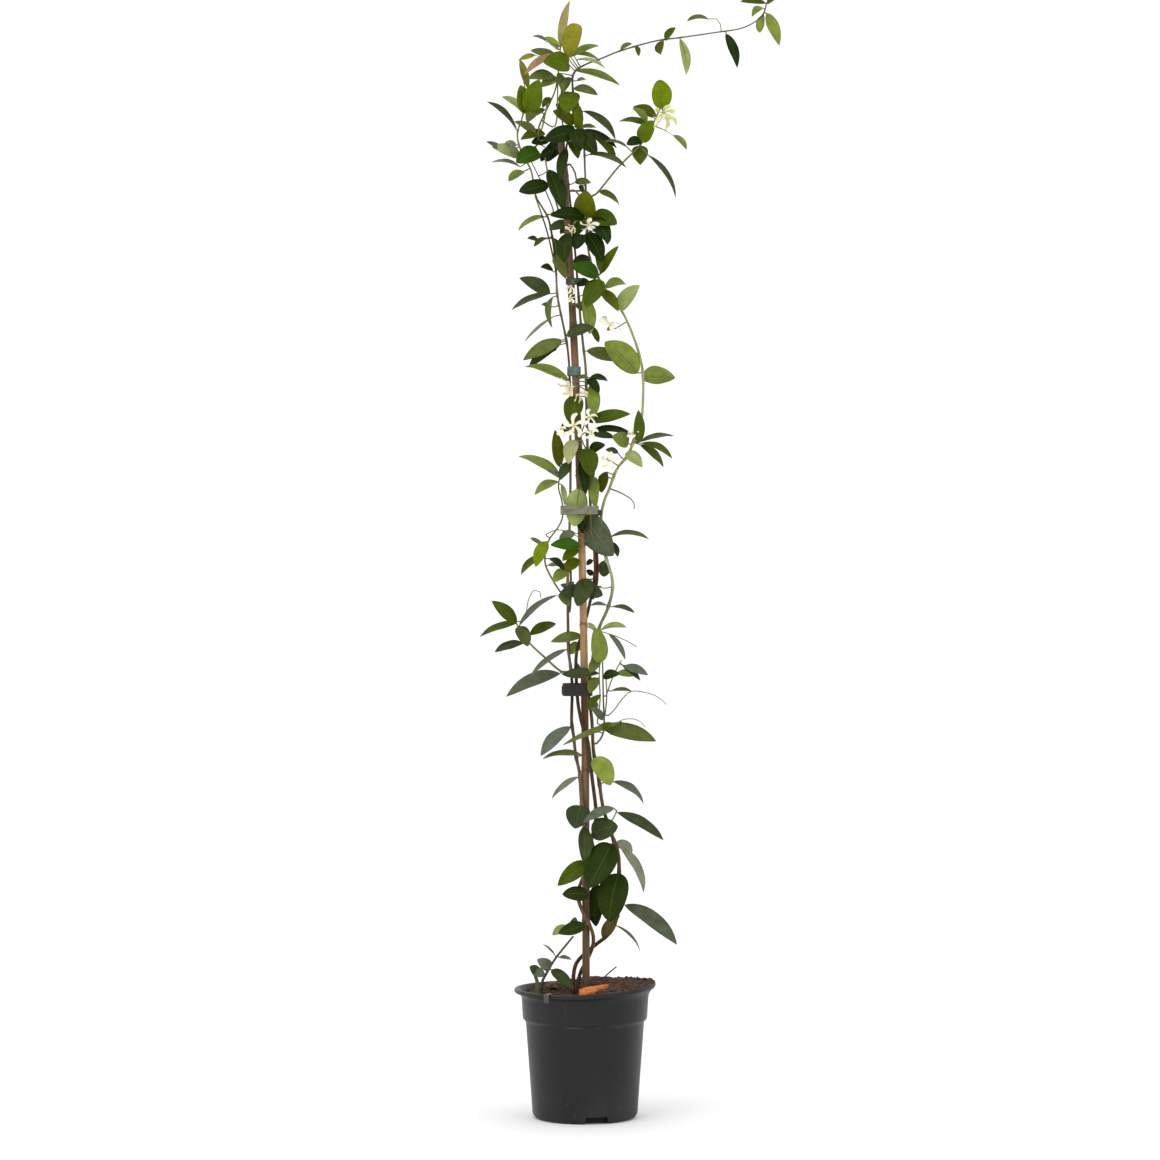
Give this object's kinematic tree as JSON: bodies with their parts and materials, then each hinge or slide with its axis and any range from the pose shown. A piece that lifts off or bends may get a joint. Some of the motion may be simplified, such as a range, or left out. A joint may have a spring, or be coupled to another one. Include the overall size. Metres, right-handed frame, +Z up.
{
  "type": "potted jasmine",
  "caption": "Slender star jasmine climbing a bowed bamboo cane in a round black nursery pot, with glossy leaves and small white pinwheel flowers.",
  "frame": {"origin": "centre of the flat underside of the pot's base, on the floor", "axes": "+Z up along the pot and the cane; -Y towards the viewer of the picture; +X to the viewer's right, where the runner at the top reaches out"},
  "size_m": [0.3613, 0.169, 1.3417],
  "materials": {
    "pot_plastic": "satin charcoal moulded plastic",
    "soil": "loose dark brown fibrous potting soil",
    "orange_bark": "rough orange-brown bark",
    "grey_bark": "rough weathered bark",
    "bamboo": "smooth tan bamboo with darker joints",
    "tie_plastic": "satin grey-green plastic",
    "label_plastic": "blank grey plastic",
    "foliage": "glossy dark green leaves on reddish brown stems",
    "young_foliage": "soft yellow-green young shoots",
    "petal": "soft cream-white petals"
  },
  "bodies": {
    "root": {"bamboo_cane": "bamboo", "bark_chip_grey": "grey_bark", "bark_chip_orange": "orange_bark", "basal_shoot": "young_foliage", "basal_sprig": "young_foliage", "basal_sprout": "young_foliage", "bud_1": "petal", "bud_2": "petal", "flower_1": "petal", "flower_10": "petal", "flower_2": "petal", "flower_3": "petal", "flower_4": "petal", "flower_5": "petal", "flower_6": "petal", "flower_7": "petal", "flower_8": "petal", "flower_9": "petal", "leafy_stem_left": "foliage", "leafy_stem_middle": "foliage", "leafy_stem_right": "foliage", "plant_label": "label_plastic", "pot": "pot_plastic", "potting_soil": "soil", "tie_high": "tie_plastic", "tie_low": "tie_plastic", "tie_middle": "tie_plastic", "tie_top": "tie_plastic"}
  },
  "joints": []
}
